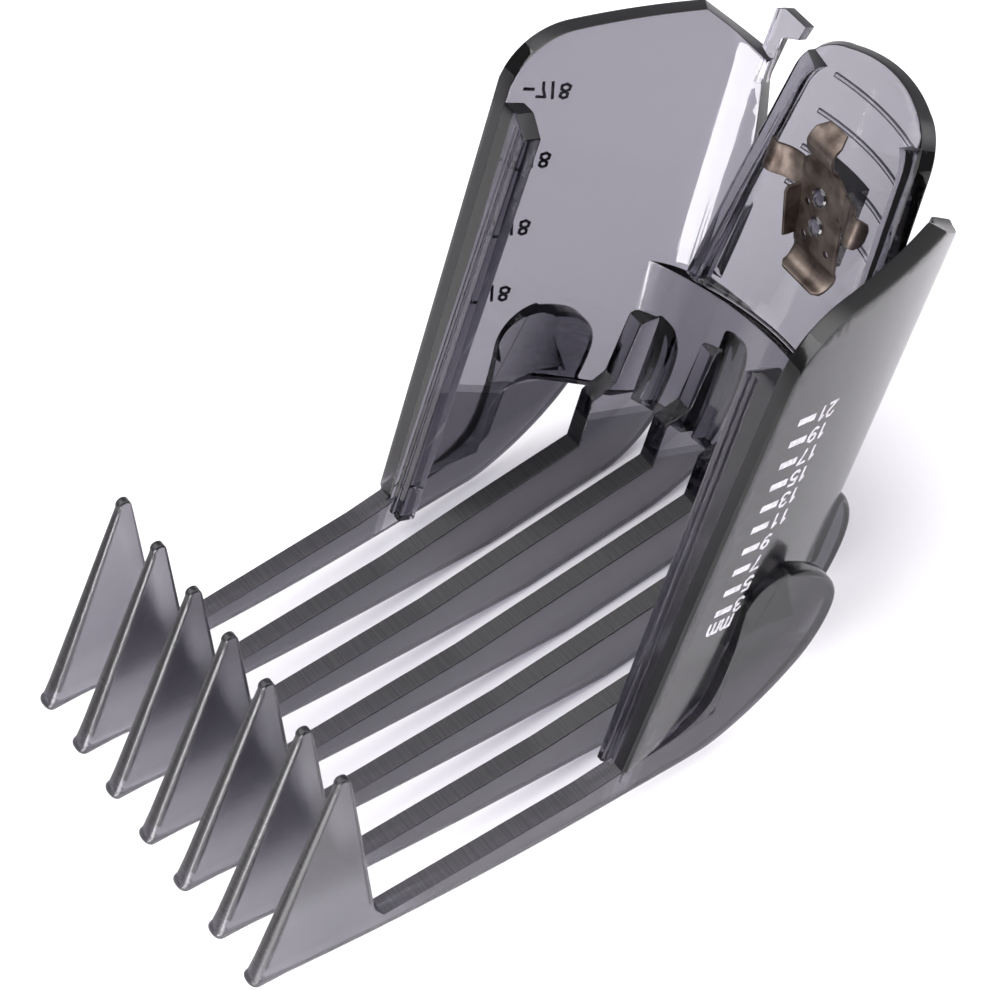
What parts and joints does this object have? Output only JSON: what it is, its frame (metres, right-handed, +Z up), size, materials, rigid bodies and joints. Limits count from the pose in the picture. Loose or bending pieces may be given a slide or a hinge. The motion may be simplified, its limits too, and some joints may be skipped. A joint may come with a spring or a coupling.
{
  "type": "hair clipper guide comb",
  "caption": "Adjustable translucent guide comb of a hair clipper, with ribs and teeth, an open sleeve, a flexing latch tongue and a steel click spring.",
  "frame": {"origin": "middle of the comb on the surface that its five inner ribs rest on", "axes": "+X from the tooth tips to the back, +Y to the left across the comb, +Z up"},
  "size_m": [0.0898, 0.0464, 0.0469],
  "materials": {
    "smoke_plastic": "smoke-grey translucent polycarbonate, polished",
    "spring_steel": "stamped spring steel",
    "white_ink": "pad-printed ink",
    "dark_ink": "pad-printed ink"
  },
  "bodies": {
    "comb_body": {"rib_1": "smoke_plastic", "rib_2": "smoke_plastic", "rib_3": "smoke_plastic", "rib_4": "smoke_plastic", "rib_5": "smoke_plastic", "rib_6": "smoke_plastic", "rib_7": "smoke_plastic", "side_wall_left": "smoke_plastic", "side_wall_right": "smoke_plastic", "back_wall": "smoke_plastic", "back_step": "smoke_plastic", "guide_lip_left": "smoke_plastic", "guide_lip_right": "smoke_plastic", "stop_lug": "smoke_plastic", "mm_scale": "white_ink", "inch_scale": "dark_ink"},
    "latch": {"latch_tongue": "smoke_plastic", "latch_flange_left": "smoke_plastic", "latch_flange_right": "smoke_plastic", "grip_ridges": "smoke_plastic", "spring_seat": "smoke_plastic", "click_spring": "spring_steel", "spring_arm_left": "spring_steel", "spring_arm_right": "spring_steel", "stake_pins": "smoke_plastic"},
    "click_nose": {"spring_nose": "spring_steel"}
  },
  "joints": [
    {"name": "latch_flex", "type": "hinge", "parent": "comb_body", "child": "latch", "pos_m": [0.02866, 0, 0.01798], "axis": [0, 1, 0], "range_deg": [-1.5, 6], "stiffness_Nm_per_rad": 1.2},
    {"name": "nose_flex", "type": "hinge", "parent": "latch", "child": "click_nose", "pos_m": [0.03573, 0, 0.03723], "axis": [0, 1, 0], "range_deg": [-1, 12], "stiffness_Nm_per_rad": 0.02}
  ]
}
